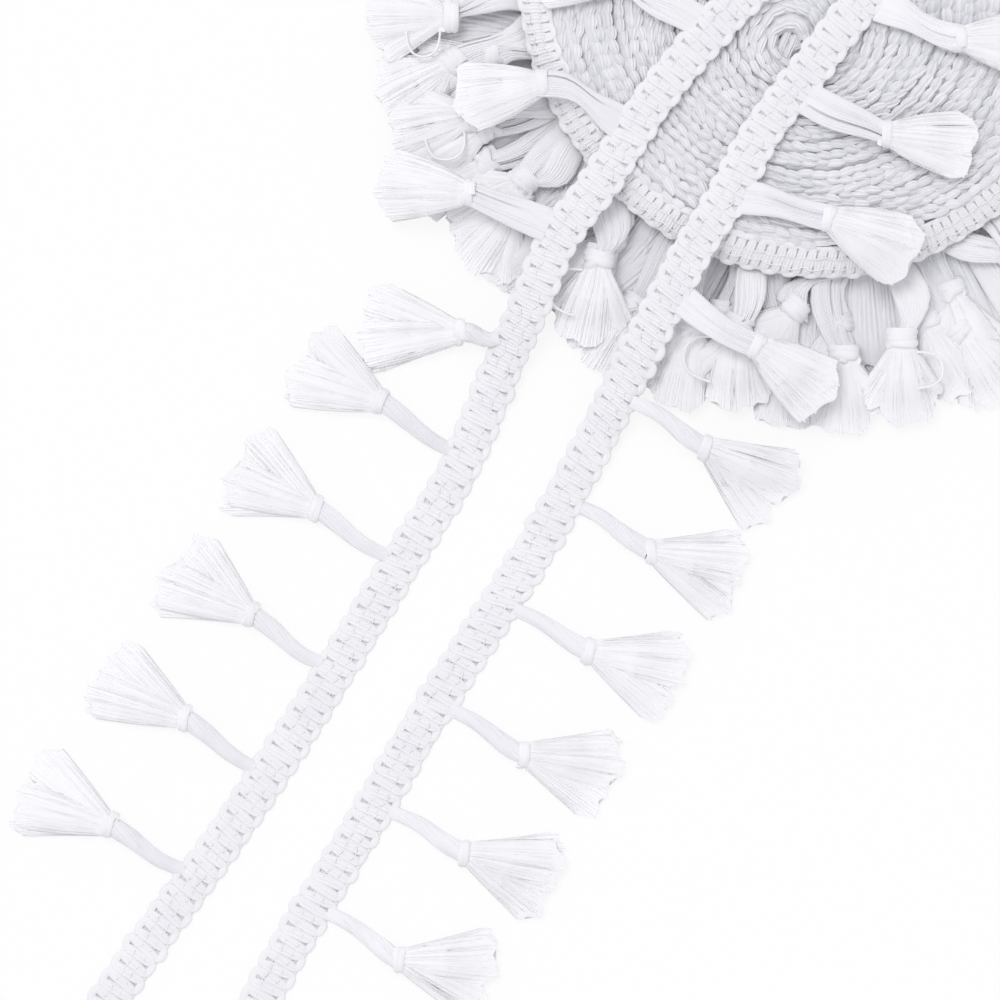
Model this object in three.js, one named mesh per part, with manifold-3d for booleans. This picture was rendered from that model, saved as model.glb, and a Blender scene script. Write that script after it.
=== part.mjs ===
// Tassel fringe trim: a cotton braid with a tassel tied into one edge every 34 mm or so.
// Most of its length is wound flat into a roll, standing on edge on its own splayed fringe.
// Two loose runs cross the roll, drape over the fringe and lie out on the table.
// Millimetres, +Z up. The origin is on the table under the middle of the roll.
import * as THREE from "three";
import { mergeVertices } from "three/addons/utils/BufferGeometryUtils.js";
import Module from "manifold-3d";

const wasm = await Module();
wasm.setup();

// The trim
const braidWidth = 12.3;
const braidThickness = 2.2;
const gap = 0.3; // between neighbouring pieces

// The wound roll
const bedHeight = 8; // the packed necks and skirts that the roll stands on
const bedRadius = 80;
const woundRadius = 73;
const woundBottom = bedHeight + gap;
const woundTop = woundBottom + braidWidth;
const mainTwists = 7; // each stands for about three turns of braid
const twistDepth = 1.6; // valley below ridge
const core = { x: -7.6, y: -17, radius: 5, depth: 4 }; // where the winding starts, off centre
const stepsPerTurn = 36;

// The outermost turn is splayed, so its braid slopes outward. Rows go down its outside.
const splayedTurn = [
  { radius: woundRadius + 1.4, height: woundTop - 0.2 },
  { radius: 84, height: 13.4 },
  { radius: 83, height: 11.3 },
  { radius: 75.5, height: 9.6 },
  { radius: 74, height: woundBottom },
];

// What a loose piece rests on, by distance from the roll's middle: roll, fringe, table.
const restingRows = [
  { radius: 0, height: woundTop + gap },
  { radius: 78, height: woundTop + gap },
  { radius: 90, height: 16.8 },
  { radius: 104, height: 14.4 },
  { radius: 118, height: 12.2 },
  { radius: 129, height: 9.4 },
  { radius: 136, height: 5.2 },
  { radius: 144, height: 0 },
];

// One tassel, along its length: a two-ply neck, a tied head and a flared skirt.
const neckLength = 20.5;
const skirtLength = 27;
const headSections = [
  { along: 0.0, width: 6.4, thickness: 5.6 },
  { along: 1.6, width: 8.2, thickness: 7.4 },
  { along: 6.4, width: 8.2, thickness: 6.8 },
  { along: 16.0, width: 16.0, thickness: 7.0 },
  { along: 24.5, width: 22.4, thickness: 6.4 },
  { along: skirtLength, width: 17.0, thickness: 4.2 },
];
const toothSections = [
  { along: 1.6, width: 8.4, thickness: 7.4 },
  { along: 6.4, width: 8.4, thickness: 6.8 },
  { along: 24.5, width: 22.4, thickness: 6.4 },
  { along: skirtLength, width: 17.0, thickness: 4.2 },
];
const neckStart = { width: 3.4, thickness: 2.6 };
const neckMiddle = { width: 4.6, thickness: 4.2 };
const tasselSides = 8;
const toothSides = 6;

// The runs, from the cut end on the table to the cut end over the roll's far rim.
// Tassels are tied in from firstTassel on, spacing apart, on the run's left or right side.
// neck and skirt are compass angles in degrees, anticlockwise from +X.
const runs = [
  {
    name: "left",
    side: 1,
    firstTassel: 54,
    spacing: 35,
    path: [
      { x: -205, y: -296 },
      { x: -188, y: -271 },
      { x: -164, y: -238 },
      { x: -141.5, y: -204 },
      { x: -117.5, y: -165 },
      { x: -100.5, y: -137.5 },
      { x: -87.5, y: -107 },
      { x: -79.8, y: -90 },
      { x: -72.5, y: -73 },
      { x: -61, y: -57.5 },
      { x: -46, y: -34.5 },
      { x: -28, y: -13 },
      { x: 15, y: 29.5 },
      { x: 54, y: 68 },
      { x: 66, y: 80 },
    ],
    tassels: [
      { neck: 148, skirt: 159 },
      { neck: 143, skirt: 158 },
      { neck: 144, skirt: 158 },
      { neck: 145, skirt: 158 },
      { neck: 143, skirt: 159 },
      { neck: 176, skirt: 181, neckLength: 13 },
      { neck: 158, skirt: 173 },
      { neck: 151, skirt: 190 },
      { neck: 150, skirt: 176 },
      { neck: 140, skirt: 152 },
      { neck: 136, skirt: 150 },
      { neck: 128, skirt: 112 },
    ],
  },
  {
    name: "right",
    side: -1,
    firstTassel: 42,
    spacing: 33.4,
    path: [
      { x: -161.5, y: -296 },
      { x: -146.5, y: -269 },
      { x: -127, y: -237 },
      { x: -110, y: -208 },
      { x: -94, y: -183 },
      { x: -78, y: -158 },
      { x: -60, y: -125 },
      { x: -48, y: -101 },
      { x: -35, y: -76 },
      { x: -26, y: -62 },
      { x: -16, y: -43.5 },
      { x: -4, y: -28 },
      { x: 10, y: -9.5 },
      { x: 41.5, y: 25.5 },
      { x: 69.5, y: 56 },
      { x: 78, y: 65.5 },
    ],
    tassels: [
      { neck: -34, skirt: -4 },
      { neck: -30, skirt: -12 },
      { neck: -33, skirt: -10 },
      { neck: -30, skirt: -15 },
      { neck: -33, skirt: -12 },
      { neck: -33, skirt: -34 },
      { neck: -33, skirt: -34 },
      { neck: -12, skirt: -24 },
      { neck: -24, skirt: -11 },
      { neck: -24, skirt: -2 },
      { neck: -32, skirt: -18 },
      { neck: -30, skirt: -14 },
    ],
  },
];
const runSteps = 56;

// The roll's fringe: tassels in three layers, in a pattern that fills a third of the ring.
// angle is at the tied head, from the start of the third; lean turns the skirt off radial.
const fringeThirds = 3;
const fringeLayers = {
  low: { startRadius: 74, startHeight: 4.4, headHeight: 4.0, tipHeight: 3.0 },
  middle: { startRadius: 77, startHeight: 6.2, headHeight: 6.6, tipHeight: 4.4 },
  high: { startRadius: 78, startHeight: 7.2, headHeight: 9.6, tipHeight: 5.4 },
};
const fringePattern = [
  { angle: 6, headRadius: 103, lean: -4, layer: "high" },
  { angle: 13, headRadius: 104, lean: 20, layer: "middle" },
  { angle: 22, headRadius: 103, lean: -12, layer: "high" },
  { angle: 29, headRadius: 106, lean: 4, layer: "low" },
  { angle: 37, headRadius: 105, lean: 16, layer: "middle" },
  { angle: 44, headRadius: 103, lean: -8, layer: "low" },
  { angle: 52, headRadius: 99, lean: 26, layer: "high" },
  { angle: 61, headRadius: 104, lean: -4, layer: "low" },
  { angle: 70, headRadius: 103, lean: 16, layer: "middle" },
  { angle: 77, headRadius: 100, lean: 0, layer: "high" },
  { angle: 85, headRadius: 104, lean: 14, layer: "low" },
  { angle: 94, headRadius: 105, lean: 2, layer: "middle" },
  { angle: 103, headRadius: 103, lean: -10, layer: "high" },
  { angle: 112, headRadius: 106, lean: 14, layer: "low" },
];

const cotton = new THREE.MeshStandardMaterial({ color: 0xf1f1f5, roughness: 0.9, metalness: 0 });

function smoothstep(t) {
  const clamped = Math.min(Math.max(t, 0), 1);
  return clamped * clamped * (3 - 2 * clamped);
}

// Height of what lies under the point (x, y), straight between the rows.
function restingHeight(x, y) {
  const radius = Math.hypot(x, y);
  const outer = restingRows.findIndex((row) => row.radius > radius);
  if (outer < 0) return 0;
  const [from, to] = [restingRows[outer - 1], restingRows[outer]];
  return THREE.MathUtils.mapLinear(radius, from.radius, to.radius, from.height, to.height);
}

function meshGeometry(points, triangles) {
  const geometry = new THREE.BufferGeometry();
  const flat = points.flatMap((point) => [point.x, point.y, point.z]);
  geometry.setAttribute("position", new THREE.Float32BufferAttribute(flat, 3));
  geometry.setIndex(triangles);
  geometry.computeVertexNormals();
  return geometry;
}

// Joins closed rings of points into a skin, with a fan over each end.
// The rings run anticlockwise as seen from beyond the last one.
function skin(rings) {
  const sides = rings[0].length;
  const triangles = [];
  for (let ring = 0; ring + 1 < rings.length; ring += 1) {
    for (let side = 0; side < sides; side += 1) {
      const a = ring * sides + side;
      const b = ring * sides + ((side + 1) % sides);
      triangles.push(a, b, b + sides, a, b + sides, a + sides);
    }
  }
  const last = (rings.length - 1) * sides;
  for (let side = 1; side + 1 < sides; side += 1) {
    triangles.push(0, side + 1, side);
    triangles.push(last, last + side, last + side + 1);
  }
  return meshGeometry(rings.flat(), triangles);
}

function addMesh(group, name, geometry) {
  const mesh = new THREE.Mesh(geometry, cotton);
  mesh.name = name;
  group.add(mesh);
}

// A point at a compass angle and distance from another, at its own height.
function stepFrom(point, angle, distance, height) {
  const radians = THREE.MathUtils.degToRad(angle);
  const x = point.x + distance * Math.cos(radians);
  const y = point.y + distance * Math.sin(radians);
  return new THREE.Vector3(x, y, height);
}

// The point, lifted where it would sink into what it rests on.
function clearOf(point, floorAt) {
  point.z = Math.max(point.z, floorAt(point.x, point.y));
  return point;
}

// One ring of a tassel's skin: a polygon of the given size, with a side for its top and one
// for its underside. slope is the rise of the ring's width towards its left.
function tasselRing(centre, heading, slope, size, sides, floorAt) {
  const left = leftOf(heading);
  left.z = slope;
  left.normalize();
  const up = new THREE.Vector3().crossVectors(heading, left).normalize();
  const flatFactor = 1 / Math.cos(Math.PI / sides);
  return Array.from({ length: sides }, (_, side) => {
    const angle = Math.PI * ((2 * side - 1) / sides - 0.5);
    const across = 0.5 * size.width * Math.cos(angle);
    const above = 0.5 * size.thickness * flatFactor * Math.sin(angle);
    const point = centre.clone().addScaledVector(left, across).addScaledVector(up, above);
    return clearOf(point, floorAt);
  });
}

// A tassel's skin along a centre line from its neck to the tips of its skirt.
// heightAt(point, size, share) places a section's centre, share of the way down the neck.
function tasselGeometry({ start, neckAngle, skirtAngle, length, rows, sides, ...place }) {
  const { heightAt, slopeAt, floorAt } = place;
  const head = stepFrom(start, neckAngle, length, 0);
  const sections = [
    { ...neckStart, point: start, share: 0 },
    { ...neckMiddle, point: stepFrom(start, neckAngle + 3, 0.5 * length, 0), share: 0.5 },
    ...rows.map((row) => ({
      ...row,
      point: stepFrom(head, skirtAngle, row.along, 0),
      share: 1 + row.along / skirtLength,
    })),
  ];
  const centres = sections.map(({ point, share, ...size }) => {
    return new THREE.Vector3(point.x, point.y, heightAt(point, size, share));
  });
  const rings = sections.map((size, index) => {
    const ahead = centres[Math.min(index + 1, centres.length - 1)];
    const behind = centres[Math.max(index - 1, 0)];
    const heading = ahead.clone().sub(behind).normalize();
    const slope = slopeAt(centres[index], heading, size.width);
    return tasselRing(centres[index], heading, slope, size, sides, floorAt);
  });
  return skin(rings);
}

// The run's centre line along its underside, lying on whatever is below.
function runCurve(path) {
  const points = path.map(({ x, y }) => new THREE.Vector3(x, y, restingHeight(x, y)));
  return new THREE.CatmullRomCurve3(points, false, "centripetal");
}

function leftOf(tangent) {
  return new THREE.Vector3(-tangent.y, tangent.x, 0).normalize();
}

function braidGeometry(curve) {
  const rings = Array.from({ length: runSteps + 1 }, (_, step) => {
    const centre = curve.getPointAt(step / runSteps);
    const tangent = curve.getTangentAt(step / runSteps);
    const left = leftOf(tangent);
    const up = new THREE.Vector3().crossVectors(tangent, left).normalize();
    const corner = (across, above) => {
      const point = centre.clone().addScaledVector(left, across * braidWidth);
      return clearOf(point.addScaledVector(up, above), restingHeight);
    };
    return [
      corner(-0.5, 0),
      corner(0.5, 0),
      corner(0.5, braidThickness),
      corner(-0.5, braidThickness),
    ];
  });
  return skin(rings);
}

// One tassel of a run: it leaves the braid's edge and settles on what lies below it.
function runTassel(curve, run, index) {
  const row = run.tassels[index];
  const share = (run.firstTassel + index * run.spacing) / curve.getLength();
  const outward = leftOf(curve.getTangentAt(share)).multiplyScalar(run.side);
  const turn = THREE.MathUtils.degToRad(row.neck) - Math.atan2(outward.y, outward.x);
  const clearance = gap + 0.5 * neckStart.width * Math.abs(Math.sin(turn));
  const edge = curve.getPointAt(share).addScaledVector(outward, 0.5 * braidWidth + clearance);
  const edgeHeight = edge.z + 0.5 * neckStart.thickness;
  const heightAt = (point, size, along) => {
    const settled = restingHeight(point.x, point.y) + 0.5 * size.thickness;
    return THREE.MathUtils.lerp(edgeHeight, settled, smoothstep(along));
  };
  const slopeAt = (centre, heading, width) => {
    const left = leftOf(heading).multiplyScalar(0.5 * width);
    const rise = restingHeight(centre.x + left.x, centre.y + left.y)
      - restingHeight(centre.x - left.x, centre.y - left.y);
    return rise / width;
  };
  return tasselGeometry({
    start: edge,
    neckAngle: row.neck,
    skirtAngle: row.skirt,
    length: row.neckLength ?? neckLength,
    rows: headSections,
    sides: tasselSides,
    floorAt: restingHeight,
    heightAt,
    slopeAt,
  });
}

// One tooth of the roll's fringe comb, in its layer.
function fringeTooth(row, third) {
  const layer = fringeLayers[row.layer];
  const angle = 180 + row.angle + (third * 360) / fringeThirds;
  const centre = new THREE.Vector3();
  const start = stepFrom(centre, angle - 0.25 * row.lean, layer.startRadius, 0);
  const head = stepFrom(centre, angle, row.headRadius, 0);
  const neck = head.clone().sub(start);
  const neckAngle = THREE.MathUtils.radToDeg(Math.atan2(neck.y, neck.x));
  const heightAt = (point, size, share) => share < 1
    ? THREE.MathUtils.lerp(layer.startHeight, layer.headHeight, share)
    : THREE.MathUtils.lerp(layer.headHeight, layer.tipHeight, share - 1);
  return tasselGeometry({
    start,
    neckAngle,
    skirtAngle: angle + row.lean,
    length: neck.length(),
    rows: toothSections,
    sides: toothSides,
    floorAt: () => 0,
    slopeAt: () => 0,
    heightAt,
  });
}

function toManifold(geometry) {
  const bare = new THREE.BufferGeometry();
  bare.setAttribute("position", geometry.getAttribute("position"));
  bare.setIndex(geometry.getIndex());
  const merged = mergeVertices(bare);
  const vertProperties = new Float32Array(merged.getAttribute("position").array);
  const triVerts = new Uint32Array(merged.getIndex().array);
  return new wasm.Manifold(new wasm.Mesh({ numProp: 3, vertProperties, triVerts }));
}

function fromManifold(solid) {
  const { vertProperties, triVerts } = solid.getMesh();
  const geometry = new THREE.BufferGeometry();
  geometry.setAttribute("position", new THREE.Float32BufferAttribute(vertProperties, 3));
  geometry.setIndex(Array.from(triVerts));
  geometry.computeVertexNormals();
  return geometry;
}

// The bed of packed yarn under the roll, a plain round with a bevelled rim.
function bedGeometry() {
  const profile = [
    new THREE.Vector2(0, 0),
    new THREE.Vector2(bedRadius, 0),
    new THREE.Vector2(bedRadius + 2, 0.5 * bedHeight),
    new THREE.Vector2(bedRadius - 1, bedHeight),
    new THREE.Vector2(0, bedHeight),
  ];
  return new THREE.LatheGeometry(profile, stepsPerTurn).rotateX(0.5 * Math.PI);
}

// The fringe of the wound length: a comb of tassels round the bed, all one piece.
function fringeComb() {
  let comb = toManifold(bedGeometry());
  for (let third = 0; third < fringeThirds; third += 1) {
    for (const row of fringePattern) {
      comb = comb.add(toManifold(fringeTooth(row, third)));
    }
  }
  return fromManifold(comb);
}

// A point of the roll at a distance from its winding centre. The centre drifts from the
// off-centre core to the roll's middle as the turns grow.
function woundPoint(turns, distance, height) {
  const drift = 1 - Math.min(distance / woundRadius, 1);
  const angle = 360 * turns;
  return stepFrom({ x: core.x * drift, y: core.y * drift }, angle, distance, height);
}

// The wound braid: one spiral ridge and valley from the core out, then the splayed turn.
function woundGeometry() {
  const pitch = (woundRadius - core.radius) / (mainTwists + 1);
  const valleys = (mainTwists + 1) * stepsPerTurn + 1;
  const ridges = mainTwists * stepsPerTurn + 1;
  const points = [];
  for (let step = 0; step < valleys; step += 1) {
    const turns = step / stepsPerTurn;
    points.push(woundPoint(turns, core.radius + pitch * turns, woundTop - twistDepth));
  }
  for (let step = 0; step < ridges; step += 1) {
    const turns = step / stepsPerTurn;
    points.push(woundPoint(turns, core.radius + pitch * (turns + 0.5), woundTop));
  }
  const triangles = [];
  for (let step = 0; step + 1 < ridges; step += 1) {
    const valley = step;
    const ridge = valleys + step;
    const next = step + stepsPerTurn;
    triangles.push(valley, ridge, ridge + 1, valley, ridge + 1, valley + 1);
    triangles.push(ridge, next, next + 1, ridge, next + 1, ridge + 1);
  }

  // The core's loop closes across the first step of the spiral, round a sunken middle.
  const coreLoop = Array.from({ length: stepsPerTurn + 1 }, (_, step) => step);
  coreLoop.push(valleys);
  const middle = points.length;
  points.push(new THREE.Vector3(core.x, core.y, woundTop - core.depth));
  coreLoop.forEach((point, index) => {
    triangles.push(middle, point, coreLoop[(index + 1) % coreLoop.length]);
  });

  // The outer loop closes across the last step, then steps down the splayed turn.
  const outerLoop = Array.from({ length: stepsPerTurn + 1 }, (_, step) => ridges - 1 + step);
  outerLoop.push(valleys + ridges - 1);
  let upper = outerLoop;
  for (const row of splayedTurn) {
    const lower = upper.map((_, index) => points.length + index);
    for (const point of outerLoop) {
      const compass = Math.atan2(points[point].y, points[point].x);
      const x = row.radius * Math.cos(compass);
      const y = row.radius * Math.sin(compass);
      points.push(new THREE.Vector3(x, y, row.height));
    }
    upper.forEach((point, index) => {
      const along = (index + 1) % upper.length;
      triangles.push(point, lower[index], lower[along], point, lower[along], upper[along]);
    });
    upper = lower;
  }
  const bottom = points.length;
  points.push(new THREE.Vector3(0, 0, woundBottom));
  upper.forEach((point, index) => {
    triangles.push(bottom, upper[(index + 1) % upper.length], point);
  });
  return meshGeometry(points, triangles);
}

const trim = new THREE.Group();
trim.name = "tassel_fringe_trim";
addMesh(trim, "wound_braid", woundGeometry());
addMesh(trim, "wound_fringe", fringeComb());
for (const run of runs) {
  const curve = runCurve(run.path);
  addMesh(trim, `${run.name}_braid`, braidGeometry(curve));
  run.tassels.forEach((_, index) => {
    const number = String(index + 1).padStart(2, "0");
    addMesh(trim, `${run.name}_tassel_${number}`, runTassel(curve, run, index));
  });
}

export default trim;
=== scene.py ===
"""Tassel fringe trim: a white cotton braid with a tassel tied into one edge every 34 mm or so.

Most of it is wound flat into a roll, which stands on edge on its own splayed fringe. Two loose
runs cross the roll, drape over the fringe and lie out on the table. Geometry is worked out in
millimetres, in the CAD model's frame, and becomes metres where a mesh is made.
"""

import math

import bpy
import numpy as np
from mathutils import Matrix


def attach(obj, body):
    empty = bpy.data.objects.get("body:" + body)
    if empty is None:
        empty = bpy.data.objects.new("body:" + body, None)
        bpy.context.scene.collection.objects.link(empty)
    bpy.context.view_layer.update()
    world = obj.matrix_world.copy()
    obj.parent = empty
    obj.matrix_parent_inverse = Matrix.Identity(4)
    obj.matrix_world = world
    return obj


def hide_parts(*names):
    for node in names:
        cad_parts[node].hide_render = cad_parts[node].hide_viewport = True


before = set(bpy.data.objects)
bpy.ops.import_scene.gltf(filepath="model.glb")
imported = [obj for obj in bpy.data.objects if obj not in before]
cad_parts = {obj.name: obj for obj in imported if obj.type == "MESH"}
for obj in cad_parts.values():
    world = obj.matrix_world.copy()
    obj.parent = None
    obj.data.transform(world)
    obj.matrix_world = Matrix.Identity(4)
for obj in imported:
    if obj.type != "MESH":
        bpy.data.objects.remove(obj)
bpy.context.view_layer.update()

MM = 0.001
UP = np.array([0.0, 0.0, 1.0])

# ---- Driving sizes, in millimetres ------------------------------------------------------------

BRAID_WIDTH = 12.3
BAR_PITCH = 2.87        # from one bar of the braid's cord to the next
CORD_HALF_WIDTH = 1.5
LOOP_NARROWING = 0.24   # how much thinner the cord is in a loop
LOOP_OPENING = 0.26     # how far a loop's bars spread at the edge
LOOP_DEPTH = 1.15       # how far a loop's middle line reaches beyond its bars
LOOP_DROP = 0.35        # how far a loop sinks below its bars
LOOP_SQUARENESS = 0.7   # below 1, a loop has fuller corners than an ellipse
BAR_REACH = 0.5 * BRAID_WIDTH - LOOP_DEPTH - (1 - LOOP_NARROWING) * CORD_HALF_WIDTH
CORD_HEIGHT = 1.1       # the cord's middle above the braid's underside

# How unevenly the braid is worked: the spacing of each drift along it, and its amount.
UNEVEN_CORD = {
    "slant": (50, 0.11), "along": (2.5, 0.09), "reach": (5.0, 0.045), "swell": (3.0, 0.07),
    "girth": (3.0, 0.035),
}
UNEVEN_STITCH = {"aside": (3.0, 0.25), "above": (2.5, 0.12)}

# The two threads that bind the bars. On the splayed turn they cross the slits between its bars.
STITCH = {"across": 1.6, "height": 1.62, "lift": 0.42, "zigzag": 0.4, "radius": 0.28}
SPLAYED_STITCH = {"across": 1.8, "height": 1.8, "lift": 0.2, "zigzag": 0.3, "radius": 0.26}

# The braid's ground under its cord, across and up. It fills in between the bars, but for the
# two grooves along which the loops' eyes stay open.
BACKING = np.array([
    (-5.4, 0.3), (5.4, 0.3), (5.4, 0.8), (4.4, 1.1), (4.1, 0.7), (1.9, 0.75), (1.3, 1.5),
    (-1.3, 1.5), (-1.9, 0.75), (-4.1, 0.7), (-4.4, 1.1), (-5.4, 0.8),
])

# The cord's section in a loop, across and up, and how its strands part on a bar: how much
# higher each of those points is there.
LOOPED_CORD = np.array([
    (1.5, 0.1), (1.42, 0.5), (1.06, 0.8), (0.53, 0.86), (0, 0.95), (-0.53, 0.86), (-1.06, 0.8),
    (-1.42, 0.5), (-1.5, 0.1), (-0.9, -0.5), (0.9, -0.5),
])
PARTED_STRANDS = np.array([0, 0, 0.04, -0.28, 0, -0.28, 0.04, 0, 0, 0, 0])

WOUND_RADIUS = 75.0
WOUND_TOP = 20.6
TURN_PITCH = 3.2

# The hollow core lies off the roll's middle. A plug closes it, and short yarns cross it.
CORE = {"x": -8.0, "y": -19.4, "radius": 3.9}
CORE_PLUG = {"radius": 12, "bottom": 6, "top": 12.5}
CORE_YARNS = {"count": 7, "half_length": 4.5, "spread": 1.3, "height": 14.0, "radius": 1.2}

# A petal is one loop of the cord along a wound turn's upper edge. shingle is how far it tilts,
# and drop how far its ends bend down.
PETAL = {"pitch": 3.8, "half_length": 2.75, "radius": 1.69, "drop": 0.75, "shingle": 0.35}

# A petal's section, out and up, with the cord's strands showing on its top.
PETAL_SECTION = np.array([
    (1, 0), (0.72, 0.62), (0.36, 0.46), (0, 0.84), (-0.36, 0.48), (-0.72, 0.64), (-1, 0), (0, -0.6),
])

# A knot's thick yarn, across and up.
KNOT_SECTION = np.array([
    (1, 0), (0.9, 0.42), (0.64, 0.77), (0.38, 0.72), (0.12, 0.98), (-0.12, 0.98), (-0.38, 0.72),
    (-0.64, 0.77), (-0.9, 0.42), (-1, 0), (-0.72, -0.55), (0.72, -0.55),
])

# A wound turn's section below its petals, up and outwards.
WALL = np.array([
    (1.2, 0), (0.9, 1.0), (-0.2, 2.1), (-8.5, 2.1), (-8.5, -2.1), (-0.2, -2.1), (0.9, -1.0),
])
WALL_DROP = 1.4         # from the petals' middle line to the wall's origin
WALL_END = 0.945        # how far along the wound braid it goes: the splayed turn hides the rest

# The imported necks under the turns, and a bundle's section as shares of half its width.
BED = {"bundles": 44, "height": 6.4, "step": 0.4, "radii": (1.5, 20, 40, 60, 76, 83)}
BUNDLE_SECTION = np.array([
    (1, 0), (0.6, 0.22), (-0.6, 0.22), (-1, 0), (-0.6, -0.22), (0.6, -0.22),
])

# The splayed turn's edges, each a radius and a height. Its two ends, at the angle start, lie
# hidden under the left run.
SPLAYED_TURN = {"outer": (84.2, 11.2), "inner": (74.6, 19.4), "start": 54.5}

# The height of what a loose piece rests on, by distance from the roll's middle: roll, fringe,
# table.
RESTING_RADII = (0, 78, 90, 104, 118, 129, 136, 144)
RESTING_HEIGHTS = (20.9, 20.9, 16.8, 14.4, 12.2, 9.4, 5.2, 0.0)

NECK_LENGTH = 20.5
SKIRT_LENGTH = 27.0
SKIRT_RISE = 2.9        # half a skirt's thickness where it leaves its knot
KNOT_RISE = 3.6         # a knot's middle above what it lies on
KNOT_HALF_WIDTH = 3.4

# How deep the grooves between a hank's strands are, as a share of its thickness, and how many
# times deeper a few of them are.
GROOVES = {"skirt": 0.035, "deep_skirt": 0.3, "neck": 0.28, "deep": 3.0, "deep_share": 0.14}

# The strands over a skirt: how many of them for each groove of its body, how far out of the
# body they lie, and how thick they are.
STRAND = {"share": 1.2, "level": 0.9, "radius": 0.43}

# A strand's section, with an edge up.
STRAND_SECTION = np.array([(0, 1), (-0.87, -0.5), (0.87, -0.5)])

# Knots are wound of a few thick turns. tilt is in degrees off the skirt's line.
TIED_KNOT = (
    {"along": 0.3, "reach": 2.0, "radius": 2.6, "turns": 2.0, "yarn": 1.35, "tilt": 5},
    {"along": 0.9, "reach": 0.9, "radius": 2.8, "turns": 1.1, "yarn": 1.1, "tilt": -15},
)
LOOSE_KNOT = (
    {"along": -2.0, "reach": 3.8, "radius": 3.0, "turns": 2.4, "yarn": 1.75, "tilt": -14},
    {"along": -0.6, "reach": 1.6, "radius": 3.3, "turns": 1.1, "yarn": 1.6, "tilt": 38},
)

# A tassel's skirt falls in bunches. turn and spread are in degrees off the skirt's line.
RUN_BUNCHES = (
    {"turn": -23, "spread": 14, "length": 28.5, "depth": 2.5, "strands": 16},
    {"turn": 16, "spread": 8, "length": 28.5, "depth": 1.6, "strands": 9},
    {"turn": 3, "spread": 17, "length": 29.0, "depth": 3.2, "strands": 22},
)
ROLL_BUNCHES = (
    {"turn": 28, "spread": 13, "length": 22.5, "depth": 2.7, "strands": 10},
    {"turn": -29, "spread": 13, "length": 22.5, "depth": 2.6, "strands": 10},
    {"turn": 0, "spread": 22, "length": 25.0, "depth": 3.4, "strands": 18},
)
BELL_BUNCHES = (
    {"turn": 0, "spread": 25, "length": 27.5, "depth": 3.0, "strands": 26},
    {"turn": 6, "spread": 15, "length": 25.5, "depth": 3.3, "strands": 14},
)

# The flattened skirts below those that show.
DEEP_BUNCH = {"turn": 0, "spread": 14, "rise": 1.7, "depth": 2.2, "strands": 12, "deep": True}

# The runs, from the cut end on the table to the cut end over the roll's far rim. side is the
# side of the path that the tassels leave on, 1 for its left. The first tassel lies first_tassel
# along the path, and the next ones follow at spacing. From pressed_from on, counted from 0, they
# lie flat on the roll. neck and skirt are compass angles in degrees, anticlockwise from +X.
RUNS = (
    {
        "name": "left",
        "side": 1,
        "first_tassel": 54,
        "pressed_from": 6,
        "spacing": 35,
        "path": (
            (-205, -296), (-188, -271), (-164, -238), (-141.5, -204), (-117.5, -165),
            (-100.5, -137.5), (-87.5, -107), (-79.8, -90), (-72.5, -73), (-61, -57.5),
            (-46, -34.5), (-28, -13), (15, 29.5), (54, 68), (66, 80),
        ),
        "tassels": (
            {"neck": 148, "skirt": 159},
            {"neck": 143, "skirt": 158},
            {"neck": 144, "skirt": 158},
            {"neck": 145, "skirt": 158},
            {"neck": 143, "skirt": 159},
            {"neck": 176, "skirt": 181, "neck_length": 7.5},
            {"neck": 158, "skirt": 173},
            {"neck": 151, "skirt": 190},
            {"neck": 150, "skirt": 176},
            {"neck": 140, "skirt": 152},
            {"neck": 136, "skirt": 150},
            {"neck": 128, "skirt": 112},
        ),
    },
    {
        "name": "right",
        "side": -1,
        "first_tassel": 42,
        "pressed_from": 6,
        "spacing": 33.4,
        "path": (
            (-161.5, -296), (-146.5, -269), (-127, -237), (-110, -208), (-94, -183),
            (-78, -158), (-60, -125), (-48, -101), (-35, -76), (-26, -62), (-16, -43.5),
            (-4, -28), (10, -9.5), (41.5, 25.5), (69.5, 56), (78, 65.5),
        ),
        "tassels": (
            {"neck": -34, "skirt": -4},
            {"neck": -30, "skirt": -12},
            {"neck": -33, "skirt": -10},
            {"neck": -30, "skirt": -15},
            {"neck": -33, "skirt": -12},
            {"neck": -33, "skirt": -28},
            {"neck": -33, "skirt": -34},
            {"neck": -12, "skirt": -24},
            {"neck": -24, "skirt": -11},
            {"neck": -24, "skirt": -2},
            {"neck": -32, "skirt": -18},
            {"neck": -30, "skirt": -14},
        ),
    },
)

# The roll's fringe: tassels in three layers, in a pattern that fills a third of the ring. Each
# row of the pattern is the knot's angle and distance, the skirt's lean off radial, and the layer.
# A layer has the neck's start, and its heights at that start, at the knot and at the tips.
FRINGE_THIRDS = 3
FILLER_SPACING = 10     # degrees between the further tassels that lie anyhow among them
FRINGE_LAYERS = {
    "low": {"start_radius": 74, "start": 4.4, "head": 4.0, "tip": 3.0},
    "middle": {"start_radius": 77, "start": 6.2, "head": 6.6, "tip": 4.4},
    "high": {"start_radius": 78, "start": 7.2, "head": 9.6, "tip": 5.4},
}
FRINGE_PATTERN = (
    (6, 103, -4, "high"), (13, 104, 20, "middle"), (22, 103, -12, "high"), (29, 106, 4, "low"),
    (37, 105, 16, "middle"), (44, 103, -8, "low"), (52, 99, 26, "high"), (61, 104, -4, "low"),
    (70, 103, 16, "middle"), (77, 100, 0, "high"), (85, 104, 14, "low"), (94, 105, 2, "middle"),
    (103, 103, -10, "high"), (112, 106, 14, "low"),
)

CREASE_ANGLE = 42       # degrees: a sharper fold than this is a crease
FLOOR_GLOW = 0.85       # how far the floor is plain white to the camera, and not lit

# ---- Small helpers ----------------------------------------------------------------------------


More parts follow.
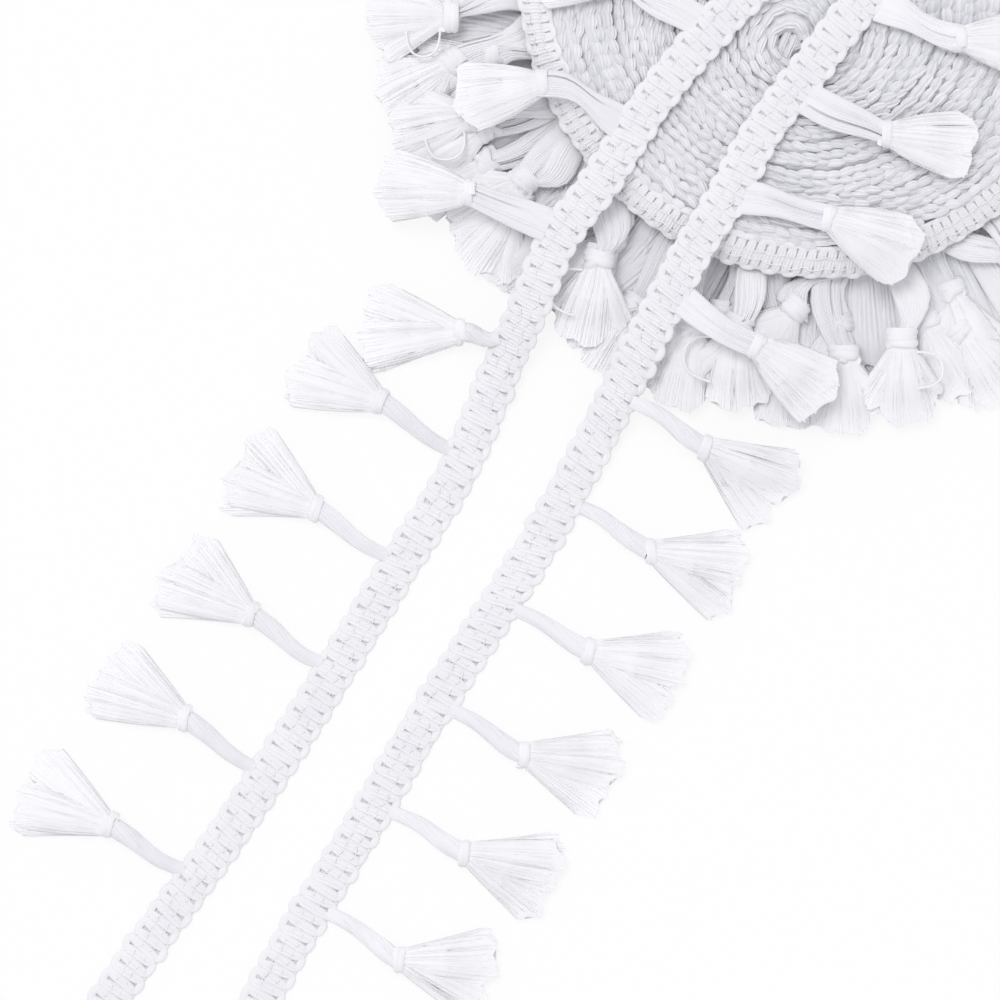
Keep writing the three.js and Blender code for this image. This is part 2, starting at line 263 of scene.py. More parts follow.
def unit(vectors):
    """The vectors, each one long."""
    return vectors / np.maximum(np.linalg.norm(vectors, axis=-1, keepdims=True), 1e-9)


def smoothstep(t):
    """From 0 to 1 as t does, level at both ends."""
    t = np.clip(t, 0, 1)
    return t * t * (3 - 2 * t)


def compass(degrees):
    """The level unit vector that points that way, anticlockwise from +X."""
    turn = np.radians(degrees)
    return np.stack([np.cos(turn), np.sin(turn), 0 * turn], axis=-1)


def resting_height(points):
    """Height of what lies under these points, straight between the rows."""
    radius = np.hypot(points[..., 0], points[..., 1])
    return np.interp(radius, RESTING_RADII, RESTING_HEIGHTS)


def wander(rng, along, spacing, amount):
    """A smooth random drift along a line, with a new value every spacing."""
    knots = rng.normal(0, amount, int(np.max(along) / spacing) + 3)
    place = along / spacing
    start = place.astype(int)
    return knots[start] + (knots[start + 1] - knots[start]) * smoothstep(place - start)


def flowing_line(points):
    """A centripetal Catmull-Rom curve through the points, as closely spaced points."""
    points = np.asarray(points, float)
    first = 2 * points[0] - points[1]
    last = 2 * points[-1] - points[-2]
    points = np.vstack([first, points, last])
    share = np.linspace(0, 1, 24, endpoint=False)[:, None]
    line = []
    for a, b, c, d in zip(points, points[1:], points[2:], points[3:]):
        ab, bc, cd = (np.sqrt(np.linalg.norm(p - q)) for p, q in ((a, b), (b, c), (c, d)))
        leave = ((b - a) / ab - (c - a) / (ab + bc) + (c - b) / bc) * bc
        arrive = ((c - b) / bc - (d - b) / (bc + cd) + (d - c) / cd) * bc
        bend = 2 * b - 2 * c + leave + arrive
        sweep = 3 * c - 3 * b - 2 * leave - arrive
        line.append(b + leave * share + sweep * share**2 + bend * share**3)
    return np.vstack([*line, points[-2]])


class Strip:
    """A braid's middle line, and the ways that its width and its face point along it."""

    def __init__(self, centre, across, face):
        steps = np.linalg.norm(np.diff(centre, axis=0), axis=1)
        self.reach = np.concatenate([[0.0], np.cumsum(steps)])
        self.length = self.reach[-1]
        self.centre, self.across, self.face = centre, across, face

    def at(self, along, rows):
        """What rows, one for each point of the middle line, come to at these distances."""
        return np.stack([np.interp(along, self.reach, row) for row in rows.T], axis=-1)

    def face_at(self, along):
        return unit(self.at(along, self.face))

    def place(self, along, across, above):
        """The points at these distances along the strip, across it and above its underside."""
        aside = np.asarray(across)[..., None] * unit(self.at(along, self.across))
        raised = np.asarray(above)[..., None] * self.face_at(along)
        return self.at(along, self.centre) + aside + raised


class Skein:
    """Yarns laid together, to become one mesh. Each of its points has a tone, higher for a whiter
    colour: mostly the cotton's own, but in places painted light and shade (brighter strand tips,
    darker necks and deep bunches), and a spin, its place in the yarn, along which the fibres run."""

    def __init__(self):
        self.points, self.tones, self.spins, self.polygons, self.crisp = [], [], [], [], []
        self.count = 0

    def lay(self, lines, radius, section, up, tone=0.5, crisp=False):
        """Adds a closed tube along each line. section is its outline, anticlockwise, which
        radius scales, or one outline for each step, or a number of sides. up is roughly the way
        that its top faces."""
        lines = np.asarray(lines, float)
        if isinstance(section, int):
            section = compass(360 * np.arange(section) / section)[:, :2]
        forward = unit(np.gradient(lines, axis=1))
        side = unit(np.cross(np.broadcast_to(up, lines.shape), forward))[:, :, None]
        top = np.cross(forward[:, :, None], side)
        size = np.broadcast_to(radius, lines.shape[:2])[:, :, None, None]
        rings = lines[:, :, None] + size * (section[..., :1] * side + section[..., 1:] * top)
        self.loft(rings, unit(section), tone, crisp)

    def loft(self, rings, outline, tone=0.5, crisp=False):
        """Adds closed tubes through rings of points: tubes, steps, sides and x, y, z. outline is
        the way that each side faces in the section. tone is a number, or one for each tube, or
        for each tube and step. A crisp tube's creases stay sharp, and every tube's ends do."""
        tubes, steps, sides = rings.shape[:3]
        self.points.append(rings.reshape(-1, 3))
        stretch = np.linalg.norm(np.diff(rings.mean(axis=2), axis=1), axis=2)
        along = np.concatenate([np.zeros((tubes, 1)), np.cumsum(stretch, axis=1)], axis=1)
        spin = np.empty((tubes, steps, sides, 3))
        spin[..., :2] = outline
        spin[..., 2] = along[:, :, None]
        self.spins.append(spin.reshape(-1, 3))
        tone = np.asarray(tone, float)
        tone = tone if tone.ndim > 1 else tone.reshape(-1, 1)
        self.tones.append(np.broadcast_to(tone[..., None], (tubes, steps, sides)).ravel())
        keep = np.full((tubes, steps, sides), crisp)
        keep[:, [0, -2, -1]] = True
        self.crisp.append(keep.ravel())
        corner = self.count + np.arange(tubes * steps * sides).reshape(tubes, steps, sides)
        beside = np.roll(corner, -1, axis=2)
        quads = np.stack([corner[:, :-1], beside[:, :-1], beside[:, 1:], corner[:, 1:]], axis=-1)
        self.polygons += [quads.reshape(-1, 4), corner[:, 0, ::-1], corner[:, -1]]
        self.count += tubes * steps * sides

    def piece(self, name, material):
        """The skein as one mesh object, in metres."""
        mesh = bpy.data.meshes.new(name)
        mesh.vertices.add(self.count)
        mesh.vertices.foreach_set("co", (np.vstack(self.points) * MM).astype(np.float32).ravel())
        sizes = np.concatenate([np.full(len(p), p.shape[1]) for p in self.polygons])
        mesh.loops.add(int(sizes.sum()))
        mesh.loops.foreach_set("vertex_index", np.concatenate([p.ravel() for p in self.polygons]))
        mesh.polygons.add(len(sizes))
        mesh.polygons.foreach_set("loop_start", np.concatenate([[0], np.cumsum(sizes)[:-1]]))
        mesh.update(calc_edges=True)
        mesh.shade_smooth()
        self.sharpen(mesh)
        tone = mesh.attributes.new("tone", "FLOAT", "POINT")
        tone.data.foreach_set("value", np.concatenate(self.tones).astype(np.float32))
        spin = mesh.attributes.new("spin", "FLOAT_VECTOR", "POINT")
        spin.data.foreach_set("vector", np.vstack(self.spins).astype(np.float32).ravel())
        mesh.materials.append(material)
        piece = bpy.data.objects.new(name, mesh)
        bpy.context.collection.objects.link(piece)
        return piece

    def sharpen(self, mesh):
        """Keeps the creases of the crisp tubes out of the smooth shading."""
        mesh.set_sharp_from_angle(angle=math.radians(CREASE_ANGLE))
        ends = np.empty(2 * len(mesh.edges), np.int32)
        mesh.edges.foreach_get("vertices", ends)
        sharp = np.empty(len(mesh.edges), bool)
        mesh.attributes["sharp_edge"].data.foreach_get("value", sharp)
        sharp &= np.concatenate(self.crisp)[ends[::2]]
        mesh.attributes["sharp_edge"].data.foreach_set("value", sharp)


# ---- The braid --------------------------------------------------------------------------------


def rounded(turn):
    """The squarish round of a loop: its sine and cosine, with fuller corners."""
    sin, cos = np.sin(turn), np.cos(turn)
    return np.abs(sin) ** LOOP_SQUARENESS, np.sign(cos) * np.abs(cos) ** LOOP_SQUARENESS


def cord_path(bars, opening):
    """The cord that makes the braid, back and forth: where it is along and across.

    It makes a bar across the braid, then turns back through a loop at the edge, and each loop's
    bars spread towards that edge, by opening.
    """
    bar = np.arange(bars)[:, None]
    way = 1 - 2 * (bar % 2)
    share = np.array([-1, -0.7, -0.35, 0, 0.35, 0.7, 1])
    sin, cos = rounded(np.linspace(0, np.pi, 7)[1:-1])
    bar_along = BAR_PITCH * bar - opening * share
    bar_across = way * share * BAR_REACH
    loop_along = BAR_PITCH * (bar + 0.5) - (0.5 * BAR_PITCH + opening) * cos
    loop_across = way * (BAR_REACH + LOOP_DEPTH * sin)
    along = np.concatenate([bar_along, loop_along], axis=1).ravel()
    across = np.concatenate([bar_across, loop_across], axis=1).ravel()
    return along, across


def lay_braid(skein, rng, strip, stitch=STITCH, fullness=1.0, opening=LOOP_OPENING, tone=0.5):
    """The braid's cord and its binding threads, along a strip. A fullness below 1 parts its
    bars."""
    bars = int((strip.length - 2 * BAR_PITCH) / BAR_PITCH)
    first_bar = 0.5 * (strip.length - bars * BAR_PITCH)
    along, across = cord_path(bars, opening)
    lay_cord(skein, rng, strip, along + first_bar, across, fullness, tone)
    for middle in (-stitch["across"], stitch["across"]):
        lay_thread(skein, rng, strip, middle, first_bar, stitch)


def lay_cord(skein, rng, strip, along, across, fullness, tone):
    """The cord through these places. Its strands part on the bars, and close up in the loops,
    where it is thinner and lies lower."""
    slant = wander(rng, along, *UNEVEN_CORD["slant"])
    drift = wander(rng, along, *UNEVEN_CORD["along"])
    along = along + across * slant + drift
    across = across * (1 + wander(rng, along, *UNEVEN_CORD["reach"]))
    looped = smoothstep((np.abs(across) - BAR_REACH + 0.8) / (LOOP_DEPTH + 0.4))
    swell = wander(rng, along, *UNEVEN_CORD["swell"])
    line = strip.place(along, across, CORD_HEIGHT + swell - LOOP_DROP * looped)
    size = fullness * (1 + wander(rng, along, *UNEVEN_CORD["girth"]))
    size = size * (1 - LOOP_NARROWING * looped)
    section = np.repeat(LOOPED_CORD[None], len(along), axis=0)
    section[..., 1] += (1 - looped)[:, None] * PARTED_STRANDS
    skein.lay(line[None], size, section, strip.face_at(along), tone, crisp=True)


def lay_thread(skein, rng, strip, middle, first_bar, stitch):
    """A binding thread, over the bars and down between them."""
    along = np.arange(0.5, strip.length / BAR_PITCH - 0.5, 0.25) * BAR_PITCH
    phase = 2 * np.pi * (along - first_bar) / BAR_PITCH
    aside = middle + stitch["zigzag"] * np.sin(0.5 * phase)
    aside = aside + wander(rng, along, *UNEVEN_STITCH["aside"])
    above = stitch["height"] + stitch["lift"] * np.cos(phase)
    above = above + wander(rng, along, *UNEVEN_STITCH["above"])
    line = strip.place(along, aside, above)
    skein.lay(line[None], stitch["radius"], 4, strip.face_at(along), 1.0)


def run_strip(run):
    """The strip that a loose run lies in: level across, and draped along."""
    path = np.array([(x, y, 0) for x, y in run["path"]], float)
    path[:, 2] = resting_height(path)
    centre = flowing_line(path)
    heading = unit(np.gradient(centre, axis=0))
    left = unit(np.cross(UP, heading))
    return Strip(centre, left, np.cross(heading, left))


def lay_backing(skein, strip, above=0.0):
    """The ground of the braid, under its cord."""
    along = np.linspace(1.5, strip.length - 1.5, int(strip.length / 2))
    line = strip.place(along, 0 * along, above + 0 * along)
    skein.lay(line[None], 1.0, BACKING, strip.face_at(along))


# ---- The roll's turns -------------------------------------------------------------------------


def wound_strip(rng):
    """The top edge of the wound braid, from the core out. across points up the braid, whose top
    leans in further with each turn, so that the outer turns show their faces."""
    turns = (WOUND_RADIUS - CORE["radius"]) / TURN_PITCH
    theta = np.linspace(0, turns, int(turns * 160)) * 2 * np.pi
    distance = CORE["radius"] + TURN_PITCH * theta / (2 * np.pi)
    along = np.cumsum(distance * np.gradient(theta))
    drift = 1 - distance / WOUND_RADIUS
    radial = compass(np.degrees(theta))
    distance = distance + wander(rng, along, 45, 0.42)
    centre = distance[:, None] * radial + drift[:, None] * np.array([CORE["x"], CORE["y"], 0])
    centre[:, 2] = WOUND_TOP - PETAL["radius"] - 0.2 + wander(rng, along, 30, 0.3)
    centre[:, 2] -= 1.6 * np.exp(-distance / 9)
    lean = 10 + 26 * (distance / WOUND_RADIUS) ** 1.5 + wander(rng, along, 35, 6)
    cos, sin = np.cos(np.radians(lean))[:, None], np.sin(np.radians(lean))[:, None]
    strip = Strip(centre, cos * UP - sin * radial, cos * radial + sin * UP)
    # The core lies off the middle, so the turns have less room on its side, and more opposite.
    strip.room = 1 - radial @ np.array([CORE["x"], CORE["y"], 0]) / WOUND_RADIUS
    return strip


def lay_petals(skein, rng, strip, start, end):
    """The wound braid's upper edge, for a share of its length. Each loop of the cord shows as a
    pointed petal that lies along the edge, and overlaps the next like a shingle."""
    middle = np.arange(strip.length * start, strip.length * end, PETAL["pitch"])[:, None]
    count = len(middle)
    share = np.linspace(-1, 1, 7)
    slant = 0.6 + wander(rng, middle, 40, 0.3) + rng.normal(0, 0.4, (count, 1))
    half_length = PETAL["half_length"] * rng.uniform(0.88, 1.12, (count, 1))
    sink = np.abs(rng.normal(0, 0.2, (count, 1)))
    height = PETAL["shingle"] * share - PETAL["drop"] * share**2 - sink
    aside = rng.normal(0, 0.28, (count, 1))
    line = strip.place(middle + half_length * share, height, aside + slant * share)
    size = PETAL["radius"] * np.interp(middle, strip.reach, strip.room)
    size = size * (0.72 + 0.28 * smoothstep(middle / 200))
    size = size * (1 - 0.76 * np.abs(share) ** 2.5) * rng.uniform(0.9, 1.06, (count, 1))
    face = strip.at(middle + 0 * share, strip.across)
    skein.lay(line, size, PETAL_SECTION, face, rng.uniform(-0.5, 0.5, count), crisp=True)


def lay_wall(skein, strip, start, end):
    """The wound braid below its petals, which closes the gaps between the turns."""
    along = np.arange(strip.length * start + 1, strip.length * end - 1, 3.0)
    line = strip.place(along, 0 * along - WALL_DROP, 0 * along)
    room = np.interp(along, strip.reach, strip.room)
    skein.lay(line[None], room, WALL, strip.face_at(along), 0.0)


def lay_bed(skein):
    """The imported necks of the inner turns, which the roll stands on."""
    bundle = np.arange(BED["bundles"])
    radii = np.array(BED["radii"])
    line = compass(360 * bundle / BED["bundles"])[:, None] * radii[:, None]
    line[..., 2] = BED["height"] - BED["step"] * (bundle[:, None] % 2)
    half_width = 1.25 * np.pi * radii / BED["bundles"]
    skein.lay(line, half_width, BUNDLE_SECTION, UP, 0.3)


def lay_core(skein, rng):
    """What fills the core: a plug, and short yarns across it."""
    plug = np.array([(CORE["x"], CORE["y"], CORE_PLUG[end]) for end in ("bottom", "top")], float)
    skein.lay(plug[None], CORE_PLUG["radius"], 24, compass(0), 0.0)
    count = CORE_YARNS["count"]
    share = np.linspace(-1, 1, 5)[:, None]
    aim = rng.uniform(20, 75, (count, 1, 1))[..., 0]
    line = CORE_YARNS["half_length"] * share * compass(aim)
    line += rng.normal(0, CORE_YARNS["spread"], (count, 1, 3)) * (1, 1, 0.5) + plug[0]
    line[..., 2] += CORE_YARNS["height"] - CORE_PLUG["bottom"] + 0.5 * (1 - share[:, 0] ** 2)
    tone = rng.uniform(-0.6, 0.2, count)
    skein.lay(line, CORE_YARNS["radius"], KNOT_SECTION, UP, tone, crisp=True)


def splayed_strip():
    """The outermost turn, sloping out, with its face up."""
    (outer, low), (inner, high) = SPLAYED_TURN["outer"], SPLAYED_TURN["inner"]
    angle = SPLAYED_TURN["start"] + np.linspace(0, 358, 500)
    radial = compass(angle)
    uneven = 0.5 * np.sin(np.radians(3 * angle)) + 0.35 * np.sin(np.radians(8 * angle))
    centre = (0.5 * (outer + inner) + uneven)[:, None] * radial + 0.5 * (low + high) * UP
    slope = math.hypot(high - low, outer - inner)
    rise, run = (high - low) / slope, (outer - inner) / slope
    face = rise * radial + run * UP
    return Strip(centre - face, rise * UP - run * radial, face)


# ---- Tassels ----------------------------------------------------------------------------------


def lay_hank(skein, rng, place, strands, groove, tone, crisp=False):
    """Soft strands side by side, as one grooved body. place(aside, level, t) gives its points:
    aside runs from -1 to 1 across, level from -1 below to 1 on top, and t from 0 to 1 along.
    The last step turns back under the tips, so that the cut faces down."""
    steps = 10
    top, under = np.linspace(1, -1, 2 * strands + 1), np.linspace(-0.8, 0.8, 5)
    t = np.append(np.linspace(0, 1, steps - 1) ** 0.85, 0.94)[:, None]
    deep = rng.random(strands + 1) < GROOVES["deep_share"]
    depth = groove * np.where(deep, GROOVES["deep"], 1) * rng.uniform(0.5, 1.3, strands + 1)
    first, last = rng.uniform(-0.4, 0.5, strands + 1), rng.uniform(0.6, 1.5, strands + 1)
    along = smoothstep((t - first) / 0.3) * (1 - smoothstep((t - last) / 0.3))
    relief = np.zeros((steps, top.size))
    relief[:, ::2] = -depth * along
    relief += 0.07 * wander(rng, np.arange(top.size), 6, 1.0) * smoothstep(2 * t)
    sway = 0.02 * np.sin(np.pi * (t * rng.uniform(0.8, 1.8) + rng.uniform(0, 2)))
    sway = sway + 0.012 * rng.normal(0, 1, top.size) * t
    aside = np.concatenate([top + sway * (1 - top**2), under + 0 * t], axis=1)
    raised = np.sqrt(1 - top**2) * (1 + relief)
    level = np.concatenate([raised, -np.sqrt(1 - under**2) + 0 * t], axis=1)
    outline = np.stack([aside[0], level[0]], axis=-1) * 0.5 * strands
    level[-1, :top.size] = -0.7
    skein.loft(place(aside, level, t)[None], outline, tone, crisp)


def lay_bunch(skein, rng, head, heading, bunch, floor_at):
    """One bunch of a skirt: it fans out from the knot to cut tips. A bunch that lies deep has no
    strands of its own on top, and its colour is painted darker, as shade."""
    ahead, beside = compass(heading), compass(heading + 90)
    uneven = rng.uniform(0, 2 * np.pi, 3)

    def place(aside, level, t):
        turn = np.radians(bunch["turn"] + bunch["spread"] * aside * (1.6 - 0.6 * t))
        ragged = 0.03 * np.sin(6 * aside + uneven[0]) + 0.01 * np.sin(13 * aside + uneven[1])
        reach = bunch["length"] * (1 - 0.07 * aside**2 - 0.05 * aside**4 + ragged) * t
        forward = 2.0 * (1 - t) + reach * np.cos(turn)
        left = reach * np.sin(turn) + KNOT_HALF_WIDTH * aside * (1 - t) ** 2
        thick = bunch.get("rise", SKIRT_RISE)
        thick = thick + (bunch["depth"] - thick) * smoothstep(2 * t)
        thick = thick * (1 - 0.4 * smoothstep(2 * t - 0.8))
        tip = 1 - 0.3 * smoothstep(4 * t - 3)
        points = head + forward[..., None] * ahead + left[..., None] * beside
        points[..., 2] = floor_at(points) + np.maximum(thick * (1 + level * tip), 0.05)
        return points

    strands = bunch["strands"]
    if bunch.get("deep"):
        # Painted shade: a deep bunch's tone is lower than that of one that shows, so that the
        # layers under the tassels read as shaded.
        tone = rng.uniform(-0.5, 0.5)
        lay_hank(skein, rng, place, strands, GROOVES["deep_skirt"], tone, crisp=True)
        return
    lay_hank(skein, rng, place, strands, GROOVES["skirt"], rng.uniform(0.4, 0.9))
    lay_strands(skein, rng, place, int(STRAND["share"] * strands))


def lay_strands(skein, rng, place, count):
    """Single strands along the top of a bunch, with painted light towards their tips: their colour
    is brighter there. place is as for a hank."""
    aside = np.linspace(-0.9, 0.9, count)[:, None] + rng.normal(0, 0.04, (count, 1))
    t = np.linspace(0, 1, 7)
    bend = rng.normal(0, 0.03, (count, 1)) * np.sin(np.pi * t) + rng.normal(0, 0.02, (count, 1)) * t
    aside = np.clip(aside + bend, -1, 1)
    level = STRAND["level"] * np.sqrt(1 - aside**2) + rng.normal(0, 0.03, (count, 1))
    yarns = place(aside, level, t * rng.uniform(0.94, 1.025, (count, 1)))
    radius = STRAND["radius"] * rng.uniform(0.85, 1.15, (count, 1)) * (1 - 0.25 * t)
    # Painted light: the tone climbs over each strand's last third, so that the tips come out
    # brighter, as if they caught more light.
    tone = rng.uniform(0.5, 1, (count, 1)) + smoothstep(3 * t - 2)
    skein.lay(yarns, radius, STRAND_SECTION, UP, tone)


def lay_wraps(skein, rng, head, heading, wrap, floor_at):
    """A few thick turns round the top of a skirt."""
    steps = int(wrap["turns"] * 14)
    share = np.linspace(0, 1, steps)
    angle = 2 * np.pi * (wrap["turns"] * share + rng.uniform(0, 1))
    forward = wrap["along"] + share * wrap["reach"]
    radius = wrap["radius"] * (1 + 0.07 * np.sin(5 * share * np.pi + rng.uniform(0, 6)))
    out = np.cos(angle)[:, None] * compass(heading + 90 + wrap["tilt"])
    line = head + forward[:, None] * compass(heading) + radius[:, None] * out
    base = floor_at(line)
    line[:, 2] = base + np.maximum(KNOT_RISE + 0.72 * radius * np.sin(angle), 1.15 * wrap["yarn"])
    size = wrap["yarn"] * (1 + 0.1 * np.sin(7 * share * np.pi + rng.uniform(0, 6)))
    skein.lay(line[None], size, KNOT_SECTION, compass(heading), rng.uniform(0.2, 0.6), crisp=True)


def lay_round_neck(skein, rng, start, head, floor_at):
    """The neck from under the braid's edge to the knot: a soft thick cord with a slight twist,
    creased here and there along its plies."""
    t = np.linspace(0, 1, 13)[:, None]
    aside = unit(np.cross(UP, head - start))
    sway = rng.uniform(0.4, 1.0) * np.sin(np.pi * t) + rng.uniform(0.3, 0.7) * np.sin(2 * np.pi * t)
    line = start + t * (head - start) + sway * aside
    heading = unit(np.gradient(line, axis=0))
    side = unit(np.cross(UP, heading))
    top = np.cross(heading, side)
    half = np.interp(t, [0, 0.15, 0.5, 0.8, 1], [1.85, 2.05, 2.35, 2.8, 2.7])
    flat = np.interp(t, [0, 0.12, 0.3, 1], [0.42, 0.5, 0.85, 0.85])
    line[:, 2] = np.interp(t[:, 0], [0, 0.5, 1], [0, 0.3, 1]) * (head[2] - 2.4 - floor_at(head))
    line[:, 2] += floor_at(line) + (flat * half)[:, 0] + 0.15
    sides = 36
    base = np.linspace(0, 2 * np.pi, sides, endpoint=False)
    groove = rng.uniform(0.05, 0.2, sides) * (np.arange(sides) % 3 == 0)
    first, last = rng.uniform(-0.5, 0.5, sides), rng.uniform(0.5, 1.5, sides)
    shown = smoothstep((t - first) / 0.2) * (1 - smoothstep((t - last) / 0.2))
    radius = half * (1 + 0.04 * np.cos(3 * base + rng.uniform(0, 6)) - groove * shown)
    turn = base + rng.uniform(1.8, 3.2) * t
    rings = line[:, None] + (radius * np.cos(turn))[..., None] * side[:, None]
    rings = rings + (flat * radius * np.sin(turn))[..., None] * top[:, None]
    outline = 2.5 * np.stack([np.cos(base), np.sin(base)], axis=-1)
    # Painted shade: a low tone, so that the neck's rounded top, which faces the light, comes out no
    # brighter than the skirts.
    skein.loft(rings[None], outline, rng.uniform(-0.4, 0.1), crisp=True)


def lay_flat_neck(skein, rng, start, head, waviness=1.0):
    """A loose flat neck of strands side by side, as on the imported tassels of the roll."""
    beside = unit(np.cross(UP, head - start))
    width = rng.uniform(4.0, 5.2)
    bow, wave = waviness * rng.normal(0, 2.4), waviness * rng.normal(0, 1.4)
    arch = waviness * rng.uniform(0.5, 2.4)

    def place(aside, level, t):
        half = width + (KNOT_HALF_WIDTH - width) * smoothstep(t)
        left = aside * half + bow * np.sin(np.pi * t) + wave * np.sin(2 * np.pi * t + aside)
        points = start + t[..., None] * (head - start) + left[..., None] * beside
        thick = np.interp(t, [0, 0.25, 1], [0.5, 1.3, 1.5])
        points[..., 2] += thick * level + arch * np.sin(np.pi * t)
        return points

    # Painted shade: a low tone, so that the neck, which lies open to the light, comes out no
    # brighter than the skirts.
    lay_hank(skein, rng, place, 12, GROOVES["neck"], rng.uniform(-0.4, 0.5), crisp=True)


def lay_stray(skein, rng, head, heading):
    """A yarn that has worked loose and loops out beside a skirt."""
    t = np.linspace(0, 1, 20)[:, None]
    side = rng.choice((-1, 1))
    out = side * (4 + rng.uniform(5, 9) * np.sin(np.pi * t) ** 0.8)
    forward = rng.uniform(3, 6) + rng.uniform(9, 13) * (t - 0.12 * np.sin(2 * np.pi * t))
    line = head + forward * compass(heading) + out * compass(heading + 90)
    line[:, 2] = head[2] + rng.uniform(0.5, 1.6) + 1.2 * np.sin(np.pi * t[:, 0])
    skein.lay(line[None], 0.36, 5, UP, 1.0)


def run_tassel(skein, rng, run, strip, index):
    """One tassel of a loose run, where its CAD solid lies."""
    row = run["tassels"][index]
    along = run["first_tassel"] + index * run["spacing"]
    outward = run["side"] * strip.at(along, strip.across)
    edge = strip.at(along, strip.centre) + (0.5 * BRAID_WIDTH - 2.0) * outward
    start = edge + 0.9 * UP
    length = row.get("neck_length", NECK_LENGTH)
    head = edge + 2.3 * outward + length * compass(row["neck"])
    head[2] = resting_height(head) + KNOT_RISE
    heading = row["skirt"] + rng.normal(0, 1.5)
    pressed = index >= run["pressed_from"]
    if pressed:
        lay_flat_neck(skein, rng, start, head + 1.5 * compass(heading), waviness=0.4)
    else:
        lay_round_neck(skein, rng, start, head + 1.0 * compass(heading), resting_height)
    for wrap in TIED_KNOT:
        varied = {**wrap, "tilt": wrap["tilt"] + rng.normal(0, 7)}
        lay_wraps(skein, rng, head, heading, varied, resting_height)
    for bunch in BELL_BUNCHES if pressed else RUN_BUNCHES:
        turn = bunch["turn"] + rng.normal(0, 1.5)
        varied = {**bunch, "turn": turn, "length": bunch["length"] * rng.uniform(0.95, 1.03)}
        lay_bunch(skein, rng, head, heading, varied, resting_height)


def roll_tassel(skein, rng, angle, head_radius, lean, layer):
    """One tassel of the roll's fringe, in its layer."""
    place = FRINGE_LAYERS[layer]
    heights = (place["start"], place["head"], place["tip"])
    radii = (place["start_radius"], head_radius, head_radius + SKIRT_LENGTH)

    def layer_at(points):
        radius = np.hypot(points[..., 0], points[..., 1])
        return np.maximum(np.interp(radius, radii, heights) - KNOT_RISE, 0)

    start = place["start_radius"] * compass(angle - 0.25 * lean) + place["start"] * UP
    head = head_radius * compass(angle)
    head[2] = layer_at(head) + KNOT_RISE
    heading = angle + lean
    lay_flat_neck(skein, rng, start, head + 1.5 * compass(heading))
    for wrap in LOOSE_KNOT:
        varied = {**wrap, "tilt": wrap["tilt"] + rng.normal(0, 12)}
        lay_wraps(skein, rng, head, heading, varied, layer_at)
    for bunch in ROLL_BUNCHES:
        turn = bunch["turn"] + rng.normal(0, 4)
        varied = {**bunch, "turn": turn, "length": bunch["length"] * rng.uniform(0.88, 1.0)}
        lay_bunch(skein, rng, head, heading, varied, layer_at)
    if layer == "high":
        lay_stray(skein, rng, head, heading)


def lay_fringe(skein, rng, start):
    """A third of the roll's fringe, from an angle on: the pattern, then the fillers."""
    for angle, head_radius, lean, layer in FRINGE_PATTERN:
        roll_tassel(skein, rng, start + angle, head_radius, lean, layer)
    for angle in np.arange(4, 360 / FRINGE_THIRDS, FILLER_SPACING):
        turned = start + angle + rng.normal(0, 2)
        lean = rng.normal(0, 20)
        layer = rng.choice(("low", "middle"))
        roll_tassel(skein, rng, turned, rng.uniform(92, 102), lean, layer)


def lay_underlayer(skein, rng):
    """Flattened skirts that fill the ring below the tassels that show, and the thick of yarn
    ends under them."""
    circle = 88 * compass(np.arange(0, 361, 5)) + 0.1 * UP
    section = np.array([(-31, 0), (28, 0), (28, 1.2), (-24, 0.9)])
    skein.lay(circle[None], 1.0, section, UP, 0.2)
    for angle in np.arange(0, 360, 5):
        heading = angle + rng.normal(0, 9)
        start = rng.uniform(68, 80) * compass(angle)
        length = rng.uniform(40, 46)
        bunch = {**DEEP_BUNCH, "length": length}
        lay_bunch(skein, rng, start, heading, bunch, lambda points: 0.3 + 0 * points[..., 2])


# ---- Materials --------------------------------------------------------------------------------


def math_node(tree, operation, first, second):
    """The result of an operation on two outputs or numbers."""
    made = tree.nodes.new("ShaderNodeMath")
    made.operation = operation
    for socket, value in zip(made.inputs, (first, second)):
        if isinstance(value, (int, float)):
            socket.default_value = value
        else:
            tree.links.new(value, socket)
    return made.outputs[0]


def attribute(tree, name):
    """The node that reads a mesh attribute."""
    made = tree.nodes.new("ShaderNodeAttribute")
    made.attribute_name = name
    return made


def cotton(name, low, high):
    """White cotton yarn: a colour between low and high, and fibres that run along each yarn."""
    material = bpy.data.materials.new(name)
    material.use_nodes = True
    tree = material.node_tree
    shader = tree.nodes["Principled BSDF"]
    shader.inputs["Roughness"].default_value = 0.85
    shader.inputs["Specular IOR Level"].default_value = 0.25
    shader.inputs["Sheen Weight"].default_value = 0.25
    shader.inputs["Sheen Roughness"].default_value = 0.5
    tree.links.new(yarn_colour(tree, low, high), shader.inputs["Base Color"])
    tree.links.new(fibre_relief(tree), shader.inputs["Normal"])
    return material


def yarn_colour(tree, low, high):
    """From low to high by each yarn's tone, itself partly painted light and shade, with faint
    painted shade in patches laid at random by a coarse noise.
    """
    # Painted shade: a coarse noise in object space darkens or lightens the colour in faint patches,
    # which stand in for patches of shade.
    painted_shade_noise = tree.nodes.new("ShaderNodeTexNoise")
    painted_shade_noise.inputs["Scale"].default_value = 90
    coordinates = tree.nodes.new("ShaderNodeTexCoord")
    tree.links.new(coordinates.outputs["Object"], painted_shade_noise.inputs["Vector"])
    own = math_node(tree, "MULTIPLY", attribute(tree, "tone").outputs["Fac"], 0.5)
    painted_shade_patches = math_node(tree, "MULTIPLY", painted_shade_noise.outputs["Fac"], 0.5)
    ramp = tree.nodes.new("ShaderNodeMix")
    ramp.data_type = "RGBA"
    ramp.inputs["A"].default_value = (*low, 1)
    ramp.inputs["B"].default_value = (*high, 1)
    tree.links.new(math_node(tree, "ADD", own, painted_shade_patches), ramp.inputs["Factor"])
    return ramp.outputs["Result"]


